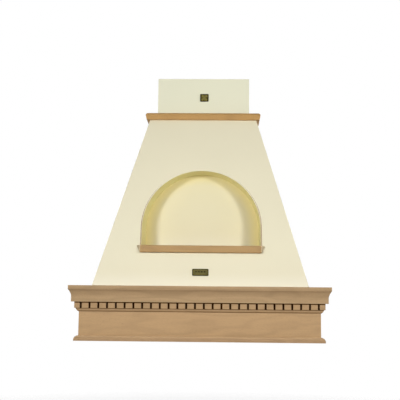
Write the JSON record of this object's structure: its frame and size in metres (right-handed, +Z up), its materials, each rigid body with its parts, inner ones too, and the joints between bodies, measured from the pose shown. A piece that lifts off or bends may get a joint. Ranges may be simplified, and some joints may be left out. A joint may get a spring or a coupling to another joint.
{
  "type": "wooden range hood cover",
  "caption": "Wall range hood cover: beech cornice with dentils, painted tapering dome with an arched niche and shelf, telescopic chimney box and an extractor insert with filters.",
  "frame": {"origin": "on the wall plane at the lowest edge of the cornice frame, in the middle of the width", "axes": "+Z up, -Y out of the wall towards the cook, +X to the right seen from the front"},
  "size_m": [0.9, 0.4985, 0.994],
  "materials": {
    "raw_beech": "raw, fine sanded",
    "collar_beech": "raw, fine sanded",
    "pine": "sawn",
    "plywood": "sanded",
    "cream_paint": "cream satin paint",
    "dark_bronze": "dark bronze patina",
    "stainless": "brushed",
    "galvanised": "galvanised sheet",
    "filter_metal": "satin",
    "wheel_metal": "bare",
    "motor_paint": "black enamel",
    "chrome_trim": "polished",
    "lens_glass": "frosted",
    "black_plastic": "fine grain",
    "grey_plastic": "fine grain"
  },
  "bodies": {
    "hood": {"front_fascia": "raw_beech", "left_fascia": "raw_beech", "right_fascia": "raw_beech", "ledge_front": "plywood", "ledge_left": "plywood", "ledge_right": "plywood", "base_bead_front": "raw_beech", "base_bead_left": "raw_beech", "base_bead_right": "raw_beech", "crown_front": "raw_beech", "crown_left": "raw_beech", "crown_right": "raw_beech", "dentil_front": "raw_beech", "dentil_left": "raw_beech", "dentil_right": "raw_beech", "back_rail": "pine", "corner_blocks": "pine", "dome_front_panel": "cream_paint", "dome_left_panel": "cream_paint", "dome_right_panel": "cream_paint", "dome_corner_battens": "pine", "top_frame": "plywood", "upper_wall_batten": "pine", "niche_arch": "cream_paint", "niche_back": "cream_paint", "niche_shelf": "raw_beech", "shelf_cleat": "pine", "collar_front": "collar_beech", "collar_left": "collar_beech", "collar_right": "collar_beech", "lower_badge": "dark_bronze", "insert_cleats": "pine", "insert_pan": "stainless", "plenum_box": "galvanised", "scroll_housing": "galvanised", "motor_bracket": "galvanised", "motor": "motor_paint", "outlet_spigot": "galvanised", "flap_pin": "stainless", "filter_stops": "galvanised", "lamp_bezels": "chrome_trim", "lamp_lenses": "lens_glass", "button_panel": "black_plastic", "switch_box": "black_plastic", "cable_gland": "grey_plastic"},
    "chimney": {"chimney_front": "cream_paint", "chimney_left": "cream_paint", "chimney_right": "cream_paint", "chimney_wall_batten": "pine", "upper_badge": "dark_bronze"},
    "blower_wheel": {"impeller": "wheel_metal"},
    "flap_rear": {"rear_flap": "wheel_metal"},
    "flap_front": {"front_flap": "wheel_metal"},
    "filter_left": {"left_filter": "filter_metal"},
    "filter_right": {"right_filter": "filter_metal"},
    "handle_left": {"left_handle": "chrome_trim"},
    "handle_right": {"right_handle": "chrome_trim"},
    "push_button_1": {"button_1": "grey_plastic"},
    "push_button_2": {"button_2": "grey_plastic"},
    "push_button_3": {"button_3": "grey_plastic"}
  },
  "joints": [
    {"name": "chimney_slide", "type": "slide", "parent": "hood", "child": "chimney", "axis": [0, 0, 1], "range_m": [0, 0.13]},
    {"name": "wheel_spin", "type": "hinge", "parent": "hood", "child": "blower_wheel", "pos_m": [0, -0.163, 0.165], "axis": [1, 0, 0], "continuous": true},
    {"name": "rear_flap_hinge", "type": "hinge", "parent": "hood", "child": "flap_rear", "pos_m": [0, -0.11, 0.345], "axis": [1, 0, 0], "range_deg": [0, 75]},
    {"name": "front_flap_hinge", "type": "hinge", "parent": "hood", "child": "flap_front", "pos_m": [0, -0.11, 0.345], "axis": [-1, 0, 0], "range_deg": [0, 75]},
    {"name": "left_filter_hinge", "type": "hinge", "parent": "hood", "child": "filter_left", "pos_m": [-0.155, -0.052, 0.0472], "axis": [1, 0, 0], "range_deg": [0, 70]},
    {"name": "right_filter_hinge", "type": "hinge", "parent": "hood", "child": "filter_right", "pos_m": [0.155, -0.052, 0.0472], "axis": [1, 0, 0], "range_deg": [0, 70]},
    {"name": "left_handle_swing", "type": "hinge", "parent": "filter_left", "child": "handle_left", "pos_m": [-0.155, -0.311, 0.0416], "axis": [1, 0, 0], "range_deg": [-90, 90]},
    {"name": "right_handle_swing", "type": "hinge", "parent": "filter_right", "child": "handle_right", "pos_m": [0.155, -0.311, 0.0416], "axis": [1, 0, 0], "range_deg": [-90, 90]},
    {"name": "button_1_press", "type": "slide", "parent": "hood", "child": "push_button_1", "axis": [0, 0, 1], "range_m": [0, 0.002], "stiffness_N_per_m": 400, "springref_m": -0.001},
    {"name": "button_2_press", "type": "slide", "parent": "hood", "child": "push_button_2", "axis": [0, 0, 1], "range_m": [0, 0.002], "stiffness_N_per_m": 400, "springref_m": -0.001},
    {"name": "button_3_press", "type": "slide", "parent": "hood", "child": "push_button_3", "axis": [0, 0, 1], "range_m": [0, 0.002], "stiffness_N_per_m": 400, "springref_m": -0.001}
  ]
}
